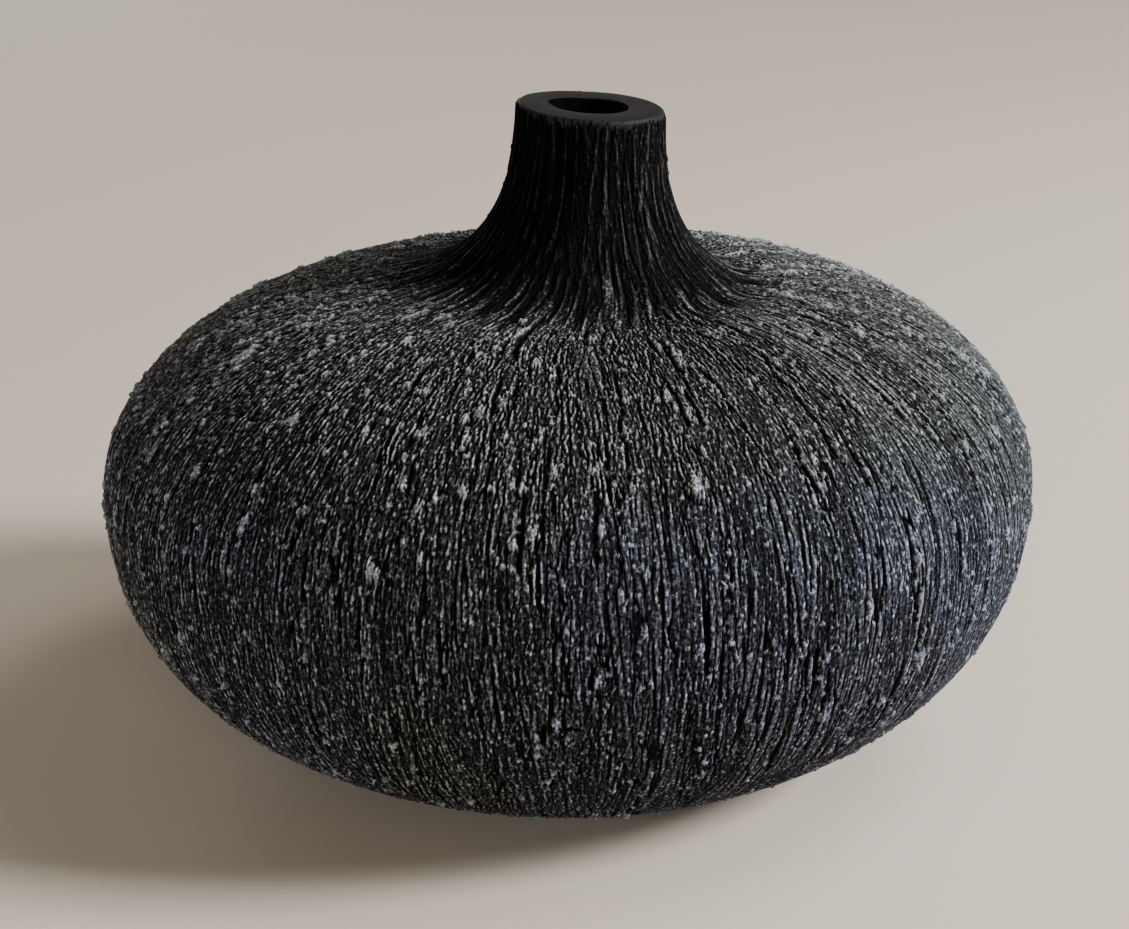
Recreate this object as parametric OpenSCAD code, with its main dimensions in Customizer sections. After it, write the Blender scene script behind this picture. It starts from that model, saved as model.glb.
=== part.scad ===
// Squat black clay pot with a short leaning neck and a combed coat.
// It is coil-built from separate clay pieces: a floor slab, courses that raise the bowl and
// close the dome, a neck and a lip. Their seams are lap joints, backed by coils at the floor,
// the belly and the neck, and three coats of coarse slip cover them.
// The origin is on the ground under the middle of the belly, and +Z is up.

/* [Belly] */
// Radius of the pot at its widest line
belly_r = 90; // [84:1:96]
// Height of the widest line above the ground
belly_z = 54; // [52:1:58]
// How far the side runs straight down before it turns in
lower_pull = 33; // [30:1:36]
// How far the side runs straight up before it turns in
upper_pull = 19; // [17:1:22]
// Height of the crown above the widest line
crown_rise = 38.8; // [37:0.2:41]
// Radius at which the crown is flat
crown_r = 30; // [29:1:32]
// How far the crown runs out flat before it turns down
crown_pull = 38; // [36:1:40]

/* [Foot] */
// Radius of the pot at the ground
foot_r = 44; // [42:1:46]
// Outward run of the underside as it leaves the foot
foot_run = 22; // [20:1:24]
// Rise of the underside over that run
foot_rise = 8.4; // [7.6:0.2:9]
// Radius of the shallow recess inside the foot ring
recess_r = 33; // [28:1:35]
// Depth of the recess
recess_h = 0.8; // [0.4:0.1:1.2]

/* [Clay] */
// Thickness of the clay wall
wall_t = 5.6; // [5:0.2:6.4]
// Thickness of the coarse coat on the belly
coat_t = 2; // [1.6:0.1:2.4]
// Thickness of the coat on the neck
neck_coat_t = 1.2; // [1:0.1:1.4]
// How far a reinforcing coil stands out from the inner wall
coil_bulge = 4; // [3:0.5:5]

/* [Neck] */
// Sideways shift of the neck from the middle of the belly
neck_shift = 3.1; // [0:0.1:4]
// Lean of the neck towards +X, in degrees
neck_lean = 2.2; // [0:0.2:3]
// Height of the lip above the crown
neck_h = 33.2; // [31:0.2:35]
// Outer radius of the lip
lip_r = 14.3; // [13.8:0.1:15]
// Radius of the bore through the neck
bore_r = 7; // [6.6:0.1:7.8]
// How far the neck runs straight down before it flares
neck_pull = 15; // [13:1:17]
// Radius of the flare at the point that draws it in
flare_pull_r = 17.3; // [16.8:0.1:18]
// Height of that point above the crown
flare_pull_z = 5.2; // [4.8:0.1:5.8]
// Radius at which the flare reaches the crown
flare_r = 33; // [32:0.5:34]
// Depth of the shoulder on which the neck sits in the dome
shoulder_z = 4.8; // [4.4:0.1:5.2]
// Width of that shoulder
shoulder_w = 3; // [2.6:0.1:3.2]
// Rounding of the inner edge of the mouth
mouth_round = 1; // [0.8:0.1:1.6]

/* [Hidden] */
$fn = 96;

crown_z = belly_z + crown_rise;
inner_depth = coat_t + wall_t;
mid_depth = coat_t + wall_t / 2;

// Stations along the pot's outline, in steps: -20 is the foot, 0 the belly and 20 the crown
STEPS = 20;
COAT_END = -19;
// Seams of the bowl's courses, from the floor to the belly, and of the dome's, to the last one
BOWL_SEAMS = [-20, -13, -7, 0];
DOME_SEAMS = [0, 7, 13];
// How many stations a course's inner half stands above its outer half
LAP = 1;

// Stations along the neck's outline, in steps: 0 is the lip and 20 the foot of the flare
LIP_EDGE = 1;
LIP_SEAT = 3;
COIL_TOP = 9;

// Height of the step in the seat of the lip
seat_step = 2;
// The neck's bore widens below this height, down to its open foot
bore_straight_z = 8;
bore_foot_z = -8.6;
bore_foot_r = 10.4;
// Depth that reaches through the crown, for cuts
through = 20;

LOWER = [[belly_r, belly_z], [belly_r, belly_z - lower_pull],
         [foot_r + foot_run, foot_rise], [foot_r, 0]];
UPPER = [[belly_r, belly_z], [belly_r, belly_z + upper_pull],
         [crown_r + crown_pull, crown_z], [crown_r, crown_z]];
NECK = [[lip_r, neck_h], [lip_r, neck_h - neck_pull],
        [flare_pull_r, flare_pull_z], [flare_r, 0]];

clay = [0.13, 0.13, 0.14];
coil_clay = [0.17, 0.16, 0.16];
slip = [0.20, 0.20, 0.21];
smooth_clay = [0.24, 0.24, 0.25];

// Point at t on the cubic curve with control points p
function curve(p, t) =
    pow(1 - t, 3) * p[0] + 3 * pow(1 - t, 2) * t * p[1] + 3 * (1 - t) * t * t * p[2] + pow(t, 3) * p[3];

// Direction of travel at t on that curve
function heading(p, t) =
    let (d = pow(1 - t, 2) * (p[1] - p[0]) + 2 * (1 - t) * t * (p[2] - p[1]) + t * t * (p[3] - p[2]))
    d / norm(d);

// Point of the pot's outline at a station, moved into the clay by depth
function body_at(station, depth) =
    let (down = station < 0,
         p = down ? LOWER : UPPER,
         t = abs(station) / STEPS,
         d = heading(p, t),
         out = down ? [-d[1], d[0]] : [d[1], -d[0]])
    curve(p, t) - depth * out;

// Point of the neck's outline at a station, moved into the clay by depth
function neck_at(station, depth) =
    let (d = heading(NECK, station / STEPS))
    curve(NECK, station / STEPS) - depth * [-d[1], d[0]];

function stations(a, b) = [for (k = [a : (a < b ? 1 : -1) : b]) k];
function body_run(a, b, depth) = [for (k = stations(a, b)) body_at(k, depth)];
function neck_run(a, b, depth) = [for (k = stations(a, b)) neck_at(k, depth)];

// Lap joint through the wall: the lower piece's inner half stands higher than its outer half
function lap(station) = [
    body_at(station, coat_t), body_at(station, mid_depth),
    body_at(station + LAP, mid_depth), body_at(station + LAP, inner_depth)
];

function reversed(points) = [for (k = [len(points) - 1 : -1 : 0]) points[k]];

// Quarter circle of radius r round a centre, from one angle to another
function quarter(centre, r, from, to) =
    [for (k = [0 : 6]) centre + r * [cos(from + (to - from) * k / 6), sin(from + (to - from) * k / 6)]];

// Coil smoothed over the inner wall between two stations
function coil_section(a, b) = concat(
    body_run(a, b, inner_depth),
    [for (k = [11 : -1 : 1])
        let (s = a + (b - a) * k / 12)
        body_at(s, inner_depth + coil_bulge * sin(180 * k / 12))]
);

tube_r = neck_at(COIL_TOP, neck_coat_t)[0];
seat_z = neck_at(LIP_SEAT, neck_coat_t)[1];
seat_mid_r = (bore_r + neck_at(LIP_SEAT, neck_coat_t)[0]) / 2;
lip_edge = neck_at(LIP_EDGE, 0);
lip_round = neck_h - lip_edge[1];

module turned(points) {
    rotate_extrude() polygon(points);
}

// The neck's own frame: its axis leans, and its zero height is the crown
module on_neck() {
    translate([neck_shift, 0, crown_z]) rotate([0, neck_lean, 0]) children();
}

// Everything under the dome's clay surface, as one solid
module dome_form() {
    turned(concat(body_run(0, STEPS, coat_t), [[0, crown_z - coat_t], [0, belly_z]]));
}

// Everything under the neck's surface at a depth, as one solid in the neck's frame
module neck_form(depth) {
    foot = neck_at(STEPS, depth);
    turned(concat([[0, -through / 2], [foot[0], -through / 2]],
                  neck_run(STEPS, 0, depth), [[0, neck_h]]));
}

// Slab that closes the bottom and stands on its outer ring
module floor_disc() {
    rim = body_at(-STEPS, coat_t);
    floor_top = body_at(-STEPS, inner_depth)[1];
    bevel = rim[1];
    color(clay) turned(concat(
        [[0, recess_h], [recess_r, recess_h], [recess_r + recess_h, 0], [rim[0] - bevel, 0]],
        lap(-STEPS),
        [[body_at(-STEPS, inner_depth)[0], floor_top], [0, floor_top]]));
}

// One ring of the wall, between the seams at two stations
module course(from, to) {
    color(clay) turned(concat(
        body_run(from, to, coat_t),
        lap(to),
        body_run(to + LAP, from + LAP, inner_depth),
        reversed(lap(from))));
}

// Last course of the dome, which closes the crown and has a stepped hole for the neck
module crown_course(from) {
    color(clay) difference() {
        turned(concat(
            body_run(from, STEPS, coat_t),
            [[0, crown_z - coat_t], [0, crown_z - inner_depth]],
            body_run(STEPS, from + LAP, inner_depth),
            reversed(lap(from))));
        on_neck() translate([0, 0, -shoulder_z]) cylinder(r = tube_r, h = through);
        on_neck() translate([0, 0, -through]) cylinder(r = tube_r - shoulder_w, h = 2 * through);
    }
}

// Tube that sits on the dome's shoulder, carries the lip and holds the mouth's bore
module neck_collar() {
    color(clay) on_neck() turned(concat(
        [[bore_r, seat_z + seat_step], [seat_mid_r, seat_z + seat_step], [seat_mid_r, seat_z]],
        neck_run(LIP_SEAT, COIL_TOP, neck_coat_t),
        [[tube_r, -shoulder_z], [tube_r - shoulder_w, -shoulder_z], [tube_r - shoulder_w, bore_foot_z],
         [bore_foot_r, bore_foot_z], [bore_r, bore_straight_z]]));
}

// Smooth coil that makes the lip, seated on the step at the top of the neck
module lip_ring() {
    color(smooth_clay) on_neck() turned(concat(
        [[bore_r, seat_z + seat_step]],
        reversed(quarter([bore_r + mouth_round, neck_h - mouth_round], mouth_round, 90, 180)),
        quarter([lip_edge[0] - lip_round, lip_edge[1]], lip_round, 90, 0),
        neck_run(LIP_EDGE, LIP_SEAT, neck_coat_t),
        [[seat_mid_r, seat_z], [seat_mid_r, seat_z + seat_step]]));
}

// Coil pressed into the corner over the seam of the floor
module floor_joint_coil() {
    color(coil_clay) turned(coil_section(-STEPS, -STEPS + 5));
}

// Coil pressed over the belly seam from inside
module belly_joint_coil() {
    color(coil_clay) turned(coil_section(-2, 4));
}

// Coil laid round the foot of the neck and smoothed into the flare
module neck_joint_coil() {
    foot = neck_at(STEPS, neck_coat_t);
    color(coil_clay) difference() {
        on_neck() turned(concat(
            neck_run(COIL_TOP, STEPS, neck_coat_t),
            [[foot[0], -through / 2], [tube_r, -through / 2]]));
        dome_form();
    }
}

// Combed coat below the belly, which stops just above the ground
module lower_coat() {
    color(slip) turned(concat(body_run(COAT_END, 0, 0), body_run(0, COAT_END, coat_t)));
}

// Combed coat over the dome, open where the flare begins
module upper_coat() {
    color(slip) difference() {
        turned(concat(body_run(0, STEPS, 0), [[0, crown_z], [0, crown_z - coat_t]],
                      body_run(STEPS, 0, coat_t)));
        on_neck() translate([0, 0, -through]) cylinder(r = flare_r, h = 2 * through);
    }
}

// Combed coat over the flare and the neck, up to the edge of the lip
module neck_coat() {
    lip_coat = neck_at(LIP_EDGE, neck_coat_t);
    color(slip) difference() {
        on_neck() turned(concat([[0, -through / 2], [flare_r, -through / 2]],
                                neck_run(STEPS, LIP_EDGE, 0), [lip_coat, [0, lip_coat[1]]]));
        on_neck() neck_form(neck_coat_t);
        dome_form();
    }
}

floor_disc();
for (k = [0 : 2])
    course(BOWL_SEAMS[k], BOWL_SEAMS[k + 1]);
for (k = [0 : 1])
    course(DOME_SEAMS[k], DOME_SEAMS[k + 1]);
crown_course(DOME_SEAMS[2]);  // dome_course_3
neck_collar();
lip_ring();
floor_joint_coil();
belly_joint_coil();
neck_joint_coil();
lower_coat();
upper_coat();
neck_coat();
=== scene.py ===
"""Looks of the black clay pot: its combed coats, smooth lip and clay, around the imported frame.

The coats are relief meshes. One grid runs over the whole outside, with its rows along the outline
from the foot to the lip and its columns round the pot. Ridges, grooves, beads and crumbs of grit are
worked out on that grid as heights in millimetres, and the grid is cut into closed shells. What the
coat's material needs to know, such as how far a point stands out, goes with the shells' points.
"""
import math

import bpy
import numpy as np
from mathutils import Matrix, Vector


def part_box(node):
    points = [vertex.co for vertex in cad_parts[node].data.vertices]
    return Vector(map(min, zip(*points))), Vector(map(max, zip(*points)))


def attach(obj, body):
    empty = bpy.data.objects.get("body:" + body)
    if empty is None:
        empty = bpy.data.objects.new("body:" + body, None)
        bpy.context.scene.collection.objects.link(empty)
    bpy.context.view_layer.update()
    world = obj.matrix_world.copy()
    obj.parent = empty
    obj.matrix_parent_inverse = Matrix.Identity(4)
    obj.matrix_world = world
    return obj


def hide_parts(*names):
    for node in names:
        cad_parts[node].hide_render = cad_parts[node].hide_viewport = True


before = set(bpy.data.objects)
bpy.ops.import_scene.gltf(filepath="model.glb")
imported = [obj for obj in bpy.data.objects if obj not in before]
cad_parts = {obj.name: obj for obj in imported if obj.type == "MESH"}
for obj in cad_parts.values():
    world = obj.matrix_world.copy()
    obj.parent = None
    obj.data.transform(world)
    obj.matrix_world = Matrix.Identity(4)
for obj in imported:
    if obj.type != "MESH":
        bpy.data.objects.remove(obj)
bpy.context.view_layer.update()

MM = 0.001

# ---------------------------------------------------------------- sizes, in millimetres

_, belly_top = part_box("lower_coat")
_, crown_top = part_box("upper_coat")
BELLY_R = belly_top.x / MM
BELLY_Z = belly_top.z / MM
CROWN_Z = crown_top.z / MM
# The outline's other dimensions are those of part.scad: ends of its curves, and how far each is pulled
FOOT_R = 44.0
FOOT_RUN = 22.0
FOOT_RISE = 8.4
LOWER_PULL = 33.0
UPPER_PULL = 19.0
CROWN_R = 30.0
CROWN_PULL = 38.0
FLARE_R = 33.0
FLARE_PULL_R = 17.3
FLARE_PULL_Z = 5.2
NECK_PULL = 15.0
# Thickness of the coat on the belly and on the neck
COAT_T = 2.0
NECK_COAT_T = 1.2

# The neck's frame: where its axis meets the crown, and how far it leans towards +X
NECK_SHIFT = 3.1
NECK_LEAN = math.radians(2.2)
NECK_H = 33.2
LIP_R = 14.3
BORE_R = 7.0

# The belly is a little lopsided: its right side stands higher than its left
BELLY_TILT = math.radians(0.9)

# Control points of the three curves: bowl, dome, and neck in its own frame
LOWER = np.array([[BELLY_R, BELLY_Z], [BELLY_R, BELLY_Z - LOWER_PULL],
                  [FOOT_R + FOOT_RUN, FOOT_RISE], [FOOT_R, 0]])
UPPER = np.array([[BELLY_R, BELLY_Z], [BELLY_R, BELLY_Z + UPPER_PULL],
                  [CROWN_R + CROWN_PULL, CROWN_Z], [CROWN_R, CROWN_Z]])
NECK = np.array([[LIP_R, NECK_H], [LIP_R, NECK_H - NECK_PULL], [FLARE_PULL_R, FLARE_PULL_Z], [FLARE_R, 0]])
# Shares of the curves that the coat covers: the bowl's down to the foot, and the neck's up to the lip
LOWER_END = 0.95
FLARE_END = 0.80
LIP_EDGE = 0.004
# The dome's curve ends at this radius, and a fillet leads from there into the flare
FILLET_R = 41
# Fall of the lip's top towards +X, for each millimetre across
LIP_SLOPE = math.tan(math.radians(1.5))

# ---------------------------------------------------------------- the grid

# The belly is cut into sectors, with this many columns in each
SECTORS = 9
SECTOR_COLS = 312
COLS = SECTORS * SECTOR_COLS
# The neck is cut into fewer sectors, and they use every third column
NECK_SECTORS = 3
NECK_COL_STEP = 3
# Distance between two rows, in millimetres
ROW_STEP = 0.30

rng = np.random.default_rng(7)


def curve(points, t):
    """Points at the values t on a cubic curve with four control points."""
    t = np.asarray(t, float)[:, None]
    return ((1 - t) ** 3 * points[0] + 3 * (1 - t) ** 2 * t * points[1]
            + 3 * (1 - t) * t ** 2 * points[2] + t ** 3 * points[3])


def smooth_step(x, low, high):
    """0 below low, 1 above high, and a smooth ramp between."""
    t = np.clip((x - low) / (high - low), 0, 1)
    return t * t * (3 - 2 * t)


def even_points(line, step):
    """The same line with its points about one step apart, and their distances along it."""
    along = np.concatenate([[0], np.cumsum(np.linalg.norm(np.diff(line, axis=0), axis=1))])
    count = int(round(along[-1] / step)) + 1
    even = np.linspace(0, along[-1], count)
    return np.stack([np.interp(even, along, line[:, i]) for i in range(2)], 1), even


def full_outline():
    """Radius and height of the finished surface, from the foot to the lip, on an upright axis."""
    lower = curve(LOWER, np.linspace(LOWER_END, 0, 200))
    upper = curve(UPPER, np.linspace(0, 1, 300))[1:]
    upper = upper[upper[:, 0] > FILLET_R]
    neck = curve(NECK, np.linspace(FLARE_END, LIP_EDGE, 200)) + [0, CROWN_Z]
    start = upper[-1]
    start_way = (upper[-1] - upper[-2]) / np.linalg.norm(upper[-1] - upper[-2])
    end_way = (neck[1] - neck[0]) / np.linalg.norm(neck[1] - neck[0])
    reach = 0.4 * np.linalg.norm(neck[0] - start)
    fillet = np.array([start, start + reach * start_way, neck[0] - reach * end_way, neck[0]])
    return np.concatenate([lower, upper, curve(fillet, np.linspace(0, 1, 80))[1:-1], neck])


outline, run = even_points(full_outline(), ROW_STEP)
ROWS = len(outline)
radius = outline[:, 0]
# Rows at which the coat parts into the bowl's, the dome's and the neck's
belly_row = int(np.argmin(np.abs(outline[:, 1] - BELLY_Z) + (radius < BELLY_R - 1) * 1e3))
seam_row = int(np.argmax((radius < FLARE_R) & (outline[:, 1] > BELLY_Z)))
# Angle of each column round the pot, from the front, and the waves round it that the noise is made of
theta = np.arange(COLS) * 2 * np.pi / COLS - np.pi / 2
wave = np.arange(COLS // 2 + 1)
# How far each row is up the neck: 0 on the dome, 1 from the middle of the flare up
neckness = smooth_step(-radius, -46, -24) * (outline[:, 1] > BELLY_Z)

# ---------------------------------------------------------------- noise on the grid


def blur_rows(values, length):
    """Gaussian blur down the rows, over a length in millimetres."""
    pad = int(4 * length / ROW_STEP) + 2
    padded = np.concatenate([values[pad:0:-1], values, values[-2:-pad - 2:-1]])
    frequency = np.fft.fftfreq(len(padded))
    gain = np.exp(-2 * (np.pi * frequency * length / ROW_STEP) ** 2)
    blurred = np.fft.ifft(np.fft.fft(padded, axis=0) * gain[:, None], axis=0)
    return blurred[pad:pad + len(values)]


def blur(values, size):
    """Gaussian blur over the same size in millimetres both ways."""
    spectrum = np.fft.rfft(values, axis=1)
    spectrum = spectrum * np.exp(-0.5 * (wave[None] * size / radius[:, None]) ** 2)
    return np.fft.irfft(blur_rows(spectrum, size), n=COLS, axis=1)


def turn_rows(spectrum, slant):
    """Leans the lines by an angle: each row turns a little further round the pot."""
    turn = np.cumsum(math.tan(slant) * ROW_STEP / radius)
    return spectrum * np.exp(1j * wave[None] * turn[:, None])


def streaks(pitch, spread, length, slant=0.0):
    """Noise of unit strength in lines a pitch apart, which keep their direction over a length."""
    spectrum = blur_rows(np.fft.rfft(rng.standard_normal((ROWS, COLS)), axis=1), length)
    size = 2 * np.pi * radius[:, None] / np.maximum(wave[None], 1)
    gain = np.exp(-0.5 * (np.log(size / pitch) / spread) ** 2) * (wave[None] > 0)
    noise = np.fft.irfft(turn_rows(spectrum * gain, slant), n=COLS, axis=1)
    return noise / noise.std(axis=1, keepdims=True)


# ---------------------------------------------------------------- the combed relief


def ridged(noise, wide):
    """Sharp crests along the lines where the noise changes sign, falling to 0 on both sides."""
    return np.clip(1 - np.abs(noise) / wide, 0, 1)


class Strokes:
    """Overlapping passes of the comb, each at its own slant on its own patches of the surface."""

    def __init__(self, slants):
        self.slants = [math.radians(a) for a in slants]
        masks = np.stack([streaks(18, 0.4, 9, s) for s in self.slants])
        masks = np.exp(9 * (masks - masks.max(axis=0)))
        self.masks = masks / masks.sum(axis=0)

    def lines(self, pitch, spread, length):
        """Streaks that follow each patch's slant."""
        return sum(m * streaks(pitch, spread, length, s) for m, s in zip(self.masks, self.slants))


# Kinds of crumb: how many to a cm2, and the smallest and largest half width in millimetres
CRUMBS = {
    "fine": (20.0, 0.25, 0.58),
    "dragged": (2.3, 0.55, 1.15),
    "large": (0.18, 0.80, 1.35),
    "neck": (5.0, 0.18, 0.40),
}


def patch_of_grid(lump, reach_up, reach_down, reach_round):
    """Rows and columns of the grid near a crumb, and the distance between two columns there."""
    pitch = 2 * np.pi * radius[int(lump["row"])] / COLS
    first = max(int(lump["row"] - reach_up / ROW_STEP), 0)
    last = min(int(lump["row"] + reach_down / ROW_STEP), ROWS)
    left, right = reach_round
    cols = np.arange(int(lump["col"] + left / pitch), int(lump["col"] + right / pitch) + 2)
    return np.arange(first, last), cols, pitch


def stamp(heights, grit, tooth, lump):
    """Raises one crumb of grit on the grid: a tilted top with a torn edge and steep sides."""
    reach = 1.6 * lump["half_len"]
    rows, cols, pitch = patch_of_grid(lump, reach, reach + 2 * ROW_STEP, (-reach, reach))
    down = (rows[:, None] - lump["row"]) * ROW_STEP
    side = (cols[None] - lump["col"]) * pitch
    turn = lump["turn"]
    a = (down * math.cos(turn) + side * math.sin(turn)) / lump["half_len"]
    b = (side * math.cos(turn) - down * math.sin(turn)) / lump["half_wide"]
    angle = np.arctan2(b, a)
    first, second = lump["corners"], lump["chips"]
    rim = 1 + 0.20 * first[0] * np.cos(3 * angle + 6.3 * first[1])
    rim += 0.18 * second[0] * np.cos(5 * angle + 6.3 * second[1])
    index = np.ix_(rows, cols % COLS)
    inside = np.clip(1 - np.hypot(a, b) / rim + 0.24 * tooth[index], 0, 1) * (np.hypot(a, b) < 1.5)
    tilt = 1 + 0.45 * (a * math.cos(lump["tip"]) + b * math.sin(lump["tip"]))
    cap = lump["height"] * np.minimum(1, 2.6 * inside) * tilt
    here = heights[index]
    heights[index] = np.where(inside > 0, np.maximum(here, 0.55 * here + cap), here)
    grit[index] = np.maximum(grit[index], lump["light"] * np.minimum(1, 2.5 * inside))


def scatter(kind, wanted):
    """Crumbs of one kind spread over the surface, times the share wanted at each point."""
    density, low, high = CRUMBS[kind]
    area = 2 * np.pi * radius * ROW_STEP / 100
    rows = np.searchsorted(np.cumsum(area) / area.sum(), rng.random(int(density * area.sum())))
    rows = np.minimum(rows, ROWS - 1)
    cols = rng.random(len(rows)) * COLS
    kept = rng.random(len(rows)) < wanted[rows, cols.astype(int)]
    for row, col in zip(rows[kept], cols[kept]):
        size = low + (high - low) * rng.random() ** 2
        yield dict(row=float(row),
                   col=col,
                   half_wide=size,
                   half_len=size * (1.0 + 1.6 * rng.random() ** 2),
                   height=min(size, 0.45 + 0.20 * size) * (0.42 + 0.42 * rng.random()),
                   turn=rng.normal(0, 0.20),
                   light=0.15 + 0.65 * rng.random(),
                   tip=rng.uniform(0, 6.3),
                   corners=rng.random(2),
                   chips=rng.random(2))


def drag_groove(heights, lump):
    """Cuts the groove that a dragged crumb leaves beside and above itself."""
    length = rng.uniform(4, 13)
    wide = rng.uniform(0.30, 0.60)
    depth = rng.uniform(0.4, 0.8)
    side = rng.choice([-1, 1]) * (lump["half_wide"] + 0.5 * wide)
    rows, cols, pitch = patch_of_grid(lump, 0.4 * length, length, (side - 2 * wide, side + 2 * wide))
    if len(rows) < 4:
        return
    way = np.linspace(0, 1, len(rows))[:, None]
    sway = 0.5 * wide * np.sin(3 * way + 6.3 * lump["corners"][1])
    across = ((cols[None] - lump["col"]) * pitch - side - sway) / wide
    groove = depth * np.exp(-across ** 4) * np.sin(np.pi * way ** 0.7) ** 0.6
    heights[np.ix_(rows, cols % COLS)] -= groove


def body_relief(dome, flat):
    """Straight broken ridges and beads on torn clay, and level clay with thin grooves elsewhere."""
    # Slants in degrees, then the pitch, the spread of pitches and the length of each kind of line
    strokes = Strokes((-4, -1, 1, 4))
    bars = strokes.lines(2.5, 0.28, 8.0)
    dashes = (1 - dome) * strokes.lines(1.45, 0.30, 3.0) + dome * strokes.lines(1.6, 0.32, 1.1)
    scores = strokes.lines(3.1, 0.35, 9.0)
    scratches = strokes.lines(1.75, 0.32, 4.5)
    gouges = strokes.lines(9.0, 0.40, 3.2)
    beads = streaks(1.05, 0.32, 0.40)
    grains = streaks(0.70, 0.35, 0.25)
    # Where the lines are deep, where they aren't broken, and where gouges are cut
    rough = smooth_step(streaks(9, 0.5, 5), -1.2, 1.0)
    whole = smooth_step(streaks(1.6, 0.5, 0.75), -0.6 + 0.4 * dome, 0.6 + 0.3 * dome)
    gouge_here = smooth_step(streaks(11, 0.5, 5), 0.6, 1.4)
    dash = np.clip(dashes + 0.30 * beads + 0.15 * grains, 0, 1.8)
    knobs = np.clip(beads + 0.3 * grains - 0.2, 0, None)
    torn = 0.12 + (0.24 + 0.10 * rough) * (1 - 0.25 * dome) * ridged(bars, 1.0) * (0.2 + 0.8 * whole)
    torn += (0.18 + 0.06 * rough) * dash * (0.3 + 0.7 * whole)
    torn += (0.15 + 0.22 * dome) * knobs * (0.5 + 0.5 * rough)
    torn -= 0.60 * np.exp(-(scores / 0.22) ** 2) * rough
    level = 0.62 + 0.05 * beads + 0.06 * dash
    level -= (0.38 + 0.24 * rough) * np.exp(-(scores / 0.36) ** 2)
    level -= 0.34 * np.exp(-(scratches / 0.36) ** 2) * (0.3 + 0.7 * whole)
    heights = torn + (level - torn) * flat + 0.03 * streaks(8, 0.5, 6)
    heights -= 0.75 * gouge_here * np.exp(-((gouges + 0.15 * beads) / 0.17) ** 2)
    return heights + 0.05 * grains


def neck_relief():
    """Long torn ridges with straight deep grooves between them, for the neck."""
    bars = ridged(streaks(4.8, 0.30, 7.0) + 0.10 * streaks(1.3, 0.4, 0.6), 1.1) ** 1.3
    lines = ridged(streaks(2.5, 0.32, 3.0), 0.9)
    torn = smooth_step(streaks(2.4, 0.5, 1.3), -1.0, 0.4)
    beads = streaks(1.1, 0.35, 0.45)
    cuts = np.exp(-(streaks(6.0, 0.4, 6.0) / 0.35) ** 2)
    return 0.88 * bars * (0.35 + 0.65 * torn) + 0.08 * lines * torn + 0.07 * beads - 0.45 * cuts


def worn(heights, depth):
    """Cuts the tops off at a common level, so that the outline stays smooth, and scales the rest."""
    return -depth * np.log1p(np.exp(-7 * heights)) / 7


def add_crumbs(heights, grit, dome, neck):
    """Stamps the kinds of crumb on: they crowd in patches, most on the dome, and thin out below."""
    body = (1 - smooth_step(-radius, -40, -30) * (outline[:, 1] > BELLY_Z))[:, None]
    tooth = streaks(0.90, 0.40, 0.30)
    crowd = smooth_step(streaks(12, 0.5, 7), -1.2, 1.2) * (0.38 + 0.62 * dome) * body
    for lump in scatter("fine", crowd):
        stamp(heights, grit, tooth, lump)
    for lump in scatter("dragged", crowd):
        drag_groove(heights, lump)
        stamp(heights, grit, tooth, lump)
    for lump in scatter("large", crowd):
        stamp(heights, grit, tooth, lump)
    for lump in scatter("neck", neck * np.ones((1, COLS))):
        stamp(heights, grit, tooth, dict(lump, light=0.20 * lump["light"]))


def relief():
    """Height over the outline in millimetres, how far each point stands out with painted highlight added, and
    the share of grit.
    """
    dome = smooth_step(outline[:, 1], BELLY_Z + 8, CROWN_Z - 3)[:, None]
    neck = neckness[:, None]
    # The clay is level on the right of the pot and torn on its left and over most of the dome
    right = 1.1 * np.cos(theta[None] + math.radians(12)) - 0.55 - 0.5 * dome
    flat = smooth_step(right + 0.50 * streaks(30, 0.5, 8), -0.35, 0.55)
    raw = (1 - neck) * (body_relief(dome, flat) - 0.42) + neck * (neck_relief() - 0.38)
    heights = worn(raw, 0.95 - 0.15 * neck)
    grit = np.zeros((ROWS, COLS))
    before = heights.copy()
    add_crumbs(heights, grit, dome, neck)
    crest_dust_and_shade = raw + heights - before
    smooth = blur(crest_dust_and_shade, 0.6)
    crest_dust_and_shade = 1.6 * (crest_dust_and_shade - smooth) + 0.7 * (smooth - blur(crest_dust_and_shade, 1.8)) + 0.02 * streaks(14, 0.6, 8)
    # Painted highlight: the crests are lighter on the level clay of the right side, where the key light
    # falls, and a little lighter over the dome
    crest_dust_and_shade += (0.10 * flat * smooth_step(np.cos(theta), 0.2, 0.8) + 0.05 * dome) * (1 - neck)
    # The coat sinks under the lip along a frayed edge, which lies lower on the right
    fray = 0.50 + 0.30 * streaks(1.6, 0.5, 2) + 0.90 * smooth_step(np.cos(theta), 0.65, 1.0)
    heights -= 0.9 * neck * smooth_step(run[:, None] - run[-1] + fray, 0, 0.5)
    return np.clip(heights, -1.5 + 0.7 * neck, 1.1), crest_dust_and_shade, grit


def dust_and_side_light_share():
    """How much of the dusty grey each point gets: the body all over, less on the dome's left as painted
    shade, and on the neck a little only on its lit side as painted light.
    """
    above_belly = (outline[:, 1] > BELLY_Z)[:, None]
    edge = 31 + 3.0 * streaks(9, 0.5, 5)
    share = 1 - smooth_step(edge - radius[:, None], -6, 6) * above_belly
    # Painted shade: the dome's left, away from the key light, gets less of the dusty grey
    painted_left_shade = smooth_step(-np.cos(theta), 0.0, 0.9) * smooth_step(outline[:, 1, None], BELLY_Z + 14, CROWN_Z - 4)
    share *= 1 - 0.30 * painted_left_shade
    # Painted light: the neck gets a little of the dusty grey only on its lit right side
    lit_side = smooth_step(np.cos(theta + math.radians(30)), 0.2, 0.9)
    return np.maximum(share, 0.11 * neckness[:, None] * lit_side)


# ---------------------------------------------------------------- the surface in space


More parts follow.
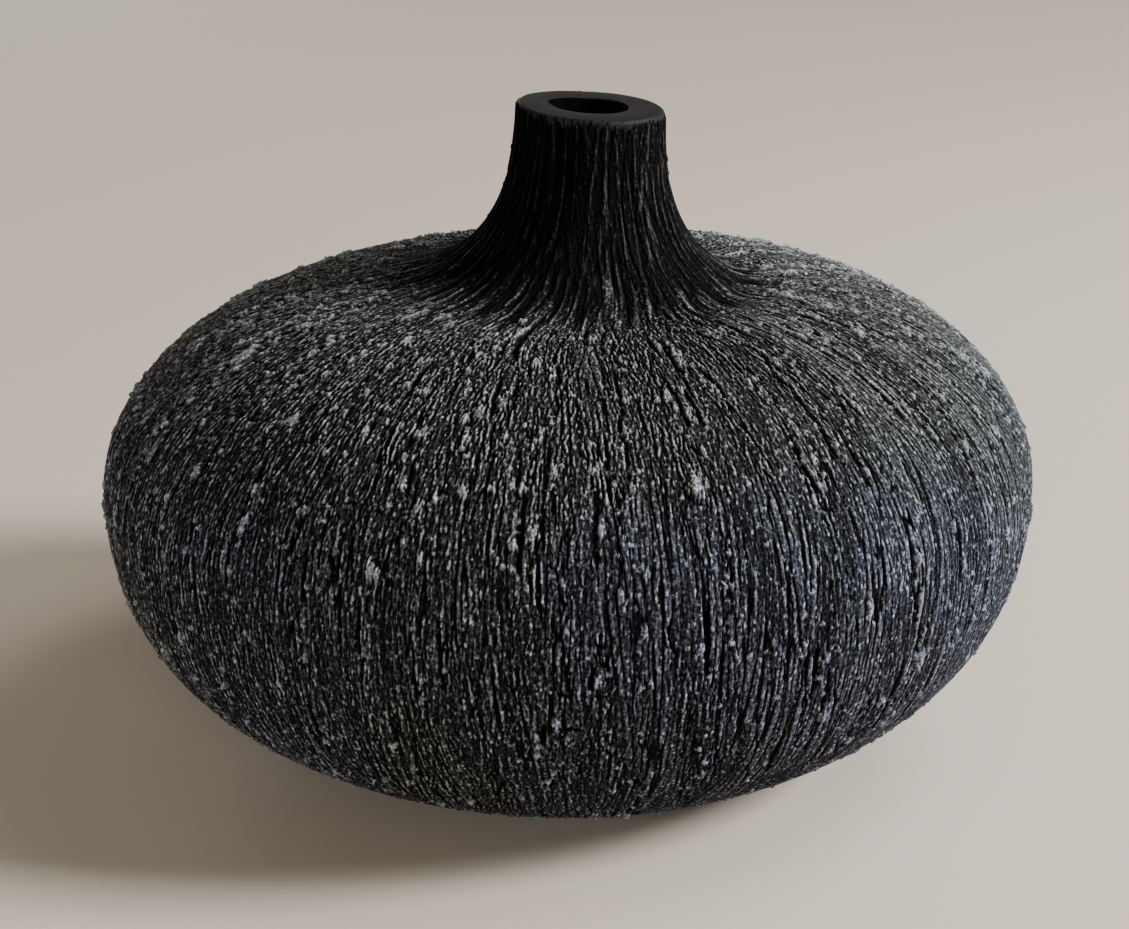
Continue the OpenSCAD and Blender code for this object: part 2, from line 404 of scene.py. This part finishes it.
def surface(line, heights):
    """Points in millimetres: the outline turned round the axis, with heights along its normal."""
    way = np.gradient(line, axis=0)
    way /= np.linalg.norm(way, axis=1, keepdims=True)
    across = np.stack([way[:, 1], -way[:, 0]], 1)
    reach = line[:, 0, None] + across[:, 0, None] * heights
    height = line[:, 1, None] + across[:, 1, None] * heights
    points = np.stack([reach * np.cos(theta), reach * np.sin(theta), height], -1)
    return lopsided(points)


def lopsided(points):
    """Tilts the belly, and shifts and leans the neck, with smooth changes between them."""
    neck = neckness[:, None]
    foot = smooth_step(run, 2, 34)[:, None]
    angle = -BELLY_TILT * foot * (1 - neck)
    x, y, z = points[..., 0], points[..., 1], points[..., 2] - BELLY_Z
    x, z = x * np.cos(angle) + z * np.sin(angle), z * np.cos(angle) - x * np.sin(angle) + BELLY_Z
    lean = NECK_LEAN * neck
    rim = smooth_step(outline[:, 1], CROWN_Z + NECK_H - NECK_PULL, CROWN_Z + NECK_H - 1)[:, None]
    z = z - CROWN_Z - LIP_SLOPE * rim * x
    x, z = x * np.cos(lean) + z * np.sin(lean), z * np.cos(lean) - x * np.sin(lean)
    return np.stack([x + NECK_SHIFT * neck, y, z + CROWN_Z], -1)


def grid_normals(points):
    """Unit normals of a grid that closes on itself round the pot."""
    round_way = np.roll(points, -1, axis=1) - np.roll(points, 1, axis=1)
    up_way = np.gradient(points, axis=0)
    normals = np.cross(round_way, up_way)
    return normals / np.linalg.norm(normals, axis=-1, keepdims=True)


heights, crest_dust_and_shade, grit = relief()
outer = surface(outline, heights)
normals = grid_normals(outer)
depth = COAT_T + (NECK_COAT_T - COAT_T) * neckness[:, None]
inner = surface(outline, -depth * np.ones((ROWS, COLS)))
dust_and_side_light = dust_and_side_light_share()

# ---------------------------------------------------------------- shells cut from the grid

# Points down and across the coarse inside of a shell
BACK_ROWS = 17
BACK_COLS = 17
NECK_BACK_COLS = 21


def quads(first, high, wide, flip):
    """Four-sided faces over a grid of points whose numbers start at first."""
    i, j = np.meshgrid(np.arange(high - 1), np.arange(wide - 1), indexing="ij")
    corner = first + i * wide + j
    corners = [corner, corner + 1, corner + wide + 1, corner + wide]
    return np.stack(corners[::-1] if flip else corners, -1).reshape(-1, 4)


def spread_over(numbers, count):
    """Some of the numbers, from the first to the last, about evenly spread."""
    return numbers[np.linspace(0, len(numbers) - 1, count).round().astype(int)]


def shell(name, rows, cols, back_cols=BACK_COLS):
    """A closed piece of the coat: fine outside, coarse inside, and flat walls between the two.

    rows and cols are the numbers of the grid's rows and columns that it covers."""
    grid = np.ix_(rows, cols % COLS)
    high, wide = len(rows), len(cols)
    back = np.ix_(spread_over(rows, BACK_ROWS), spread_over(cols, back_cols) % COLS)
    points = np.concatenate([outer[grid].reshape(-1, 3), inner[back].reshape(-1, 3)]) * MM
    front = np.arange(high * wide).reshape(high, wide)
    rear = high * wide + np.arange(BACK_ROWS * back_cols).reshape(BACK_ROWS, back_cols)
    outside = quads(0, high, wide, False)
    inside = quads(high * wide, BACK_ROWS, back_cols, True)
    walls = [[*front[0, ::-1], *rear[0]], [*front[-1], *rear[-1, ::-1]],
             [*front[:, 0], *rear[::-1, 0]], [*front[::-1, -1], *rear[:, -1]]]
    return build_shell(name, points, outside, inside, walls, grid)


def build_shell(name, points, outside, inside, walls, grid):
    """Makes the mesh, with seamless normals on the outside and its own UV layout."""
    mesh = bpy.data.meshes.new(name)
    loops = np.concatenate([outside.ravel(), inside.ravel(), *walls])
    sizes = np.concatenate([np.full(len(outside) + len(inside), 4), [len(wall) for wall in walls]])
    mesh.vertices.add(len(points))
    mesh.vertices.foreach_set("co", points.ravel())
    mesh.loops.add(len(loops))
    mesh.loops.foreach_set("vertex_index", loops.astype(np.int32))
    mesh.polygons.add(len(sizes))
    mesh.polygons.foreach_set("loop_start", (np.cumsum(sizes) - sizes).astype(np.int32))
    mesh.update(calc_edges=True)
    mesh.validate()
    paint_points(mesh, grid, len(points))
    lay_out_uv(mesh, len(loops), outside, crest_dust_and_shade[grid].shape[1])
    mesh.polygons.foreach_set("use_smooth", np.ones(len(sizes), bool))
    flat_normals = np.zeros(len(sizes) * 3, np.float32)
    mesh.polygons.foreach_get("normal", flat_normals)
    split = np.repeat(flat_normals.reshape(-1, 3), sizes, axis=0)
    split[:outside.size] = normals[grid].reshape(-1, 3)[outside.ravel()]
    mesh.normals_split_custom_set(split)
    return place_piece(name, mesh)


def place_piece(name, mesh):
    """A new object that holds the mesh."""
    piece = bpy.data.objects.new(name, mesh)
    bpy.context.scene.collection.objects.link(piece)
    return piece


def paint_points(mesh, grid, count):
    """Stores what the material needs on each outside point; the rest stays bare and dark."""
    for name, field, bare in (("crest_dust_and_shade", crest_dust_and_shade, -1.0), ("grit", grit, 0.0), ("dust_and_side_light", dust_and_side_light, 0.0)):
        values = np.full(count, bare, np.float32)
        front = field[grid].ravel()
        values[:len(front)] = front
        mesh.attributes.new(name, "FLOAT", "POINT").data.foreach_set("value", values)


def lay_out_uv(mesh, count, outside, wide):
    """Puts the outside on nearly the whole square, and everything else on one point beside it."""
    margin, width, height = 0.005, 0.955, 0.99
    uv = np.empty((count, 2), np.float32)
    uv[:] = (0.985, 0.5)
    row = outside // wide
    col = outside % wide
    uv[:outside.size, 0] = margin + width * (col / col.max()).ravel()
    uv[:outside.size, 1] = margin + height * (row / row.max()).ravel()
    layer = mesh.uv_layers.new(name="OFBake")
    layer.data.foreach_set("uv", uv.ravel())


# ---------------------------------------------------------------- materials


def material(name):
    """A new material, its node tree and its shader."""
    made = bpy.data.materials.new(name)
    made.use_nodes = True
    tree = made.node_tree
    return made, tree, tree.nodes["Principled BSDF"]


def node(tree, kind, **values):
    """A node with some of its settings and input values."""
    made = tree.nodes.new(kind)
    for key, value in values.items():
        if key in made.inputs:
            made.inputs[key].default_value = value
        else:
            setattr(made, key, value)
    return made


def feed(tree, socket, value):
    """Links an output to the socket, or sets it to a number or a colour."""
    if isinstance(value, bpy.types.NodeSocket):
        tree.links.new(value, socket)
    else:
        socket.default_value = value + (1,) if isinstance(value, tuple) else value


def attribute(tree, name):
    """A value that is stored on the points of the coat."""
    return node(tree, "ShaderNodeAttribute", attribute_name=name).outputs["Fac"]


def math_node(tree, operation, a, b, clamp=False):
    """A sum, product or other result of two values."""
    made = node(tree, "ShaderNodeMath", operation=operation, use_clamp=clamp)
    feed(tree, made.inputs[0], a)
    feed(tree, made.inputs[1], b)
    return made.outputs[0]


def ramp(tree, value, stops):
    """A colour ramp over (place, grey or colour) stops."""
    made = tree.nodes.new("ShaderNodeValToRGB")
    elements = made.color_ramp.elements
    while len(elements) < len(stops):
        elements.new(0.5)
    for element, (place, colour) in zip(elements, stops):
        element.position = place
        element.color = (colour,) * 3 + (1,) if isinstance(colour, float) else tuple(colour) + (1,)
    tree.links.new(value, made.inputs[0])
    return made.outputs[0]


def mix(tree, share, a, b, blend="MIX"):
    """Colour a where the share is 0 and b, or their blend, where it is 1."""
    made = node(tree, "ShaderNodeMix", data_type="RGBA", blend_type=blend)
    feed(tree, made.inputs[0], share)
    feed(tree, made.inputs[6], a)
    feed(tree, made.inputs[7], b)
    return made.outputs[2]


def place_on_pot(tree):
    """The place of the point, in metres."""
    return tree.nodes.new("ShaderNodeTexCoord").outputs["Object"]


def noise(tree, scale, detail=2.0, rough=0.5):
    """Cloudy noise with this many patches to a metre."""
    made = node(tree, "ShaderNodeTexNoise", Scale=scale, Detail=detail, Roughness=rough)
    tree.links.new(place_on_pot(tree), made.inputs["Vector"])
    return made.outputs["Fac"]


def grains(tree, scale, share):
    """Round grains of slip, a little longer than wide: 1 in the middle of a share of the cells."""
    longer = node(tree, "ShaderNodeVectorMath", operation="MULTIPLY")
    longer.inputs[1].default_value = (1.0, 1.0, 0.62)
    tree.links.new(place_on_pot(tree), longer.inputs[0])
    cells = node(tree, "ShaderNodeTexVoronoi", Scale=scale)
    tree.links.new(longer.outputs[0], cells.inputs["Vector"])
    middle = ramp(tree, cells.outputs["Distance"], [(0.22, 1.0), (0.48, 0.0)])
    empty = 1.0 - share
    chosen = ramp(tree, cells.outputs["Color"], [(empty - 0.04, 0.0), (empty + 0.08, 1.0)])
    return math_node(tree, "MULTIPLY", middle, chosen)


def cool_tint(tree):
    """A faintly green black, with bluish patches from the belly down."""
    split = tree.nodes.new("ShaderNodeSeparateXYZ")
    tree.links.new(place_on_pot(tree), split.inputs[0])
    height = math_node(tree, "MULTIPLY", split.outputs["Z"], 10.0)
    below = ramp(tree, height, [(0.66, 1.0), (0.84, 0.0)])
    clouds = ramp(tree, noise(tree, 14.0, 1.0), [(0.39, 0.0), (0.56, 1.0)])
    return mix(tree, math_node(tree, "MULTIPLY", clouds, below), (0.96, 1.0, 0.95), (0.905, 0.945, 1.15))


def coat_material():
    """Matt black slip: grooves painted black as shade, charcoal flanks, and grey crests that are dust and
    painted highlight, grains and crumbs.
    """
    made, tree, shader = material("combed_slip")
    grain = noise(tree, 2300.0, 2.0, 0.6)
    fleck = noise(tree, 1500.0, 3.0, 0.65)
    dust_and_lit_side = attribute(tree, "dust_and_side_light")
    jitter = math_node(tree, "MULTIPLY", math_node(tree, "SUBTRACT", fleck, 0.5), 1.8)
    height = math_node(tree, "ADD", attribute(tree, "crest_dust_and_shade"), jitter)
    # From 0 at the bottom of the grooves to 1 on the crests
    rise = math_node(tree, "ADD", math_node(tree, "MULTIPLY", height, 0.5), 0.4, clamp=True)
    # Painted shade and highlight: near black in the grooves and grey on the crests, the grey partly dust and
    # partly painted highlight
    body = ramp(tree, rise, [(0.26, 0.0010), (0.40, 0.006), (0.50, 0.019), (0.64, 0.055), (0.84, 0.15)])
    clean = ramp(tree, rise, [(0.30, 0.0002), (0.52, 0.0005), (0.72, 0.003), (0.94, 0.014)])
    stone = ramp(tree, fleck, [(0.35, 0.08), (0.5, 0.18), (0.65, 0.38)])
    flecked = math_node(tree, "MULTIPLY", attribute(tree, "grit"), fleck)
    crumb = math_node(tree, "MULTIPLY", flecked, 1.5, clamp=True)
    raised = ramp(tree, rise, [(0.34, 0.0), (0.50, 1.0)])
    dots = math_node(tree, "MULTIPLY", grains(tree, 1250.0, 0.46), raised)
    dotted = mix(tree, math_node(tree, "MULTIPLY", dots, 0.75), body, (0.24, 0.24, 0.24))
    colour = mix(tree, dust_and_lit_side, clean, mix(tree, crumb, dotted, stone))
    pepper = mix(tree, ramp(tree, grain, [(0.36, 0.0), (0.64, 1.0)]), (0.5, 0.5, 0.5), (1.5, 1.5, 1.5))
    colour = mix(tree, 1.0, mix(tree, 1.0, colour, cool_tint(tree), "MULTIPLY"), pepper, "MULTIPLY")
    tree.links.new(colour, shader.inputs["Base Color"])
    # Crumbs and grains shine a little more than the slip round them
    shine = math_node(tree, "MULTIPLY", math_node(tree, "MAXIMUM", dots, crumb), dust_and_lit_side)
    matt = ramp(tree, grain, [(0.3, 0.75), (0.7, 0.95)])
    roughness = math_node(tree, "SUBTRACT", matt, math_node(tree, "MULTIPLY", shine, 0.30))
    tree.links.new(roughness, shader.inputs["Roughness"])
    shader.inputs["Specular IOR Level"].default_value = 0.035
    tooth = math_node(tree, "ADD", math_node(tree, "ADD", grain, fleck), dots)
    add_bump(tree, shader, tooth, 1.0, 0.00014)
    return made


def add_bump(tree, shader, height, strength, depth):
    """Fine tooth on the surface, with a depth in metres."""
    bump = node(tree, "ShaderNodeBump", Strength=strength, Distance=depth)
    tree.links.new(height, bump.inputs["Height"])
    tree.links.new(bump.outputs["Normal"], shader.inputs["Normal"])


def clay_material(name, low, high, matt, depth, specular=0.15):
    """Plain black clay, mottled from a low to a high colour, with fine tooth."""
    made, tree, shader = material(name)
    mottle = noise(tree, 70.0, 4.0, 0.6)
    tooth = noise(tree, 1100.0, 3.0, 0.6)
    coarse = math_node(tree, "MULTIPLY", mottle, 0.6)
    fine = math_node(tree, "MULTIPLY", tooth, 0.4)
    blend = math_node(tree, "ADD", coarse, fine)
    tree.links.new(ramp(tree, blend, [(0.35, low), (0.65, high)]), shader.inputs["Base Color"])
    tree.links.new(ramp(tree, mottle, [(0.3, matt[0]), (0.7, matt[1])]), shader.inputs["Roughness"])
    shader.inputs["Specular IOR Level"].default_value = specular
    add_bump(tree, shader, blend, 0.5, depth)
    return made


combed_slip = coat_material()
smooth_clay = clay_material("smooth_lip_clay", 0.002, (0.006, 0.006, 0.007), (0.62, 0.80), 0.00012)
# Painted shade: the wall inside the mouth is near black and barely shines
mouth_shade_clay = clay_material("painted_shade_mouth_clay", 0.0002, 0.0008, (0.94, 1.0), 0.0001, specular=0.02)
raw_clay = clay_material("raw_clay", 0.004, (0.010, 0.010, 0.011), (0.8, 0.95), 0.0002)
base_clay = clay_material("scraped_base_clay", (0.016, 0.016, 0.017), (0.05, 0.05, 0.052), (0.7, 0.9), 0.0002)

# ---------------------------------------------------------------- the pieces


def dress(piece, look, slot, *nodes):
    """Gives a piece its material and its body, and hides the CAD nodes that it stands for; slot is not used.
    """
    piece.data.materials.append(look)
    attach(piece, "root")
    if nodes:
        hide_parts(*nodes)


def coat_pieces():
    """The coats on the bowl, the dome and the neck, each in equal sectors round the pot."""
    for k in range(SECTORS):
        cols = np.arange(k * SECTOR_COLS, (k + 1) * SECTOR_COLS + 1)
        lower = shell(f"lower_coat_{k + 1}", np.arange(0, belly_row + 1), cols)
        dress(lower, combed_slip, "combed_coat", "lower_coat")
        upper = shell(f"upper_coat_{k + 1}", np.arange(belly_row, seam_row + 1), cols)
        dress(upper, combed_slip, "combed_coat", "upper_coat")
    neck_cols = COLS // NECK_SECTORS
    for k in range(NECK_SECTORS):
        cols = np.arange(k * neck_cols, (k + 1) * neck_cols + 1, NECK_COL_STEP)
        neck = shell(f"neck_coat_{k + 1}", np.arange(seam_row, ROWS), cols, NECK_BACK_COLS)
        dress(neck, combed_slip, "combed_coat", "neck_coat")


# Points on the straight wall inside the mouth, on each rounded edge and on the flat top of the lip
WALL_POINTS = 5
ROUND_IN_POINTS = 14
ROUND_OUT_POINTS = 16
TOP_POINTS = 12
# The first points of the section, up to the middle of the inner rounding, lie on the wall inside the mouth,
# painted near black as shade
MOUTH_POINTS = 13


def lip_outline():
    """Section of the lip in the neck's frame, from inside the mouth over the top to its seat."""
    round_in, round_out, edge = 0.7, 0.8, LIP_R - 0.30
    crown = 0.12
    wall = [(BORE_R, NECK_H - 4.6 + 0.7 * k) for k in range(WALL_POINTS)]
    inner_arc = [(BORE_R + round_in + round_in * math.cos(a), NECK_H - round_in + round_in * math.sin(a))
                 for a in np.linspace(math.pi, math.pi / 2, ROUND_IN_POINTS)]
    outer_arc = [(edge - round_out + round_out * math.cos(a), NECK_H - round_out + round_out * math.sin(a))
                 for a in np.linspace(math.pi / 2, 0, ROUND_OUT_POINTS)]
    across = np.linspace(0, 1, TOP_POINTS + 2)[1:-1]
    top = [(r, NECK_H + crown * math.sin(math.pi * u))
           for u, r in zip(across, np.interp(across, [0, 1], [inner_arc[-1][0], outer_arc[0][0]]))]
    seat = [(edge - 0.15, NECK_H - 1.8), (edge - 0.7, NECK_H - 2.6), (edge - 1.0, NECK_H - 5.0)]
    return np.array(wall + inner_arc + top + outer_arc + seat)


def ring_piece(name, points, look, *nodes):
    """A closed ring round the neck's axis, from its section at each angle."""
    high, count = points.shape[:2]
    i, j = np.meshgrid(np.arange(high), np.arange(count), indexing="ij")
    nxt = (j + 1) % count
    up = (i + 1) % high
    faces = np.stack([i * count + j, up * count + j, up * count + nxt, i * count + nxt], -1)
    mesh = bpy.data.meshes.new(name)
    mesh.from_pydata((points.reshape(-1, 3) * MM).tolist(), [], faces.reshape(-1, 4).tolist())
    mesh.polygons.foreach_set("use_smooth", np.ones(len(mesh.polygons), bool))
    foot = Matrix.Translation(Vector((NECK_SHIFT, 0, CROWN_Z)) * MM)
    mesh.transform(foot @ Matrix.Rotation(NECK_LEAN, 4, "Y"))
    mesh.update()
    dress(place_piece(name, mesh), look, "lip_clay", *nodes)


def lip_pieces():
    """The smooth lip, pressed by hand and closed under the coat, and the wall inside the mouth, painted near
    black as shade.
    """
    angle = np.linspace(0, 2 * np.pi, 360, endpoint=False)
    # How uneven the lip is: the number of waves round it, and their height in millimetres
    waves = [(2, 0.07), (3, 0.05), (5, 0.03), (9, 0.02)]
    sway = sum(a * np.cos(k * angle + rng.uniform(0, 6.3)) for k, a in waves)
    rise = sum(0.8 * a * np.cos(k * angle + rng.uniform(0, 6.3)) for k, a in waves)
    # A thumb has pressed the mouth wider on the left
    pressed = 1.1 * np.maximum(0, -np.cos(angle + 0.35)) ** 3

    def shaped(section):
        """Points of a section at each angle, uneven near the top and pressed wider in the mouth."""
        upness = smooth_step(section[:, 1], NECK_H - 3.5, NECK_H - 0.5)[:, None]
        near_top = smooth_step(section[:, 1], NECK_H - 1.6, NECK_H)
        mouth = (near_top * smooth_step(-section[:, 0], -10.5, -8.2))[:, None]
        r = section[:, 0, None] + sway * upness + pressed * mouth
        z = section[:, 1, None] + rise * upness - LIP_SLOPE * r * np.cos(angle)
        return np.stack([r * np.cos(angle), r * np.sin(angle), z], -1)

    section = lip_outline()
    wall_back = [(BORE_R + 1.4, NECK_H - 1.4), (BORE_R + 1.4, NECK_H - 4.6)]
    ring_piece("mouth_wall", shaped(np.vstack([section[:MOUTH_POINTS], wall_back])), mouth_shade_clay)
    ring_piece("smooth_lip", shaped(section[MOUTH_POINTS - 1:]), smooth_clay, "lip_ring")


def dress_cad():
    """Materials for the clay pieces that show as they are."""
    for name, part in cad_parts.items():
        look = base_clay if name == "floor_disc" else raw_clay
        part.data.materials.clear()
        part.data.materials.append(look)


coat_pieces()
lip_pieces()
dress_cad()

# ---------------------------------------------------------------- stage, light and camera


def stage_material(name, colour, rough):
    """A plain matt material."""
    made, _, shader = material(name)
    shader.inputs["Base Color"].default_value = colour + (1,)
    shader.inputs["Roughness"].default_value = rough
    return made


def make_stage():
    """A pale round floor that curves up all round into a plain wall; sizes in metres."""
    bend_start, bend = 1.6, 0.6
    turns = 96
    section = [(0.5, 0.0), (1.0, 0.0), (bend_start, 0.0)]
    section += [(bend_start + bend * math.sin(a), bend - bend * math.cos(a))
                for a in np.linspace(0.1, math.pi / 2, 14)]
    section += [(bend_start + bend, 1.6), (bend_start + bend, 2.8)]
    points = [(r * math.cos(k * math.tau / turns), r * math.sin(k * math.tau / turns), z)
              for r, z in section for k in range(turns)]
    middle = len(points)
    points.append((0.0, 0.0, 0.0))
    faces = [(middle, k, (k + 1) % turns) for k in range(turns)]
    for i in range(len(section) - 1):
        low, high = i * turns, (i + 1) * turns
        faces += [(low + k, high + k, high + (k + 1) % turns, low + (k + 1) % turns) for k in range(turns)]
    mesh = bpy.data.meshes.new("floor")
    mesh.from_pydata(points, [], faces)
    mesh.polygons.foreach_set("use_smooth", np.ones(len(faces), bool))
    mesh.materials.append(stage_material("pale_floor", (0.44, 0.375, 0.30), 0.8))
    place_piece("floor", mesh)


def area_light(name, place, size, power, colour):
    """A square soft light that faces the middle of the pot."""
    lamp = bpy.data.lights.new(name, "AREA")
    lamp.size = size
    lamp.energy = power
    lamp.color = colour
    made = bpy.data.objects.new(name, lamp)
    made.location = place
    aim = Vector((0, 0, BELLY_Z * MM)) - Vector(place)
    made.rotation_euler = aim.to_track_quat("-Z", "Y").to_euler()
    bpy.context.scene.collection.objects.link(made)


def make_light():
    """A key from the right and above, and weak broad lights from overhead and the other sides."""
    area_light("key", (1.28, -0.27, 0.76), 0.42, 70, (0.92, 0.96, 1.0))
    area_light("overhead", (0.72, 0.12, 1.16), 0.55, 9, (0.98, 0.99, 1.0))
    area_light("front", (0.55, -1.60, 0.32), 0.50, 14, (0.96, 0.98, 1.0))
    area_light("fill", (-1.30, -0.95, 0.24), 0.5, 14, (0.97, 0.98, 1.0))
    area_light("back", (-0.45, 1.50, 0.30), 0.5, 4, (0.97, 0.98, 1.0))
    world = bpy.data.worlds.new("studio")
    world.use_nodes = True
    background = world.node_tree.nodes["Background"]
    background.inputs["Color"].default_value = (0.80, 0.78, 0.74, 1)
    background.inputs["Strength"].default_value = 0.20
    bpy.context.scene.world = world


def make_camera():
    """The viewing angle: 18.5 degrees down, at 3.2 pot widths, with a long lens."""
    distance = 3.2 * 2 * BELLY_R * MM
    elevation = math.radians(18.5)
    camera = bpy.data.cameras.new("camera")
    camera.lens = 93.8
    camera.sensor_width = 36.0
    made = bpy.data.objects.new("camera", camera)
    made.location = (-0.0006, -distance * math.cos(elevation), BELLY_Z * MM + distance * math.sin(elevation))
    made.rotation_euler = (math.radians(90 - 18.435), 0, 0)
    bpy.context.scene.collection.objects.link(made)
    bpy.context.scene.camera = made


make_stage()
make_light()
make_camera()
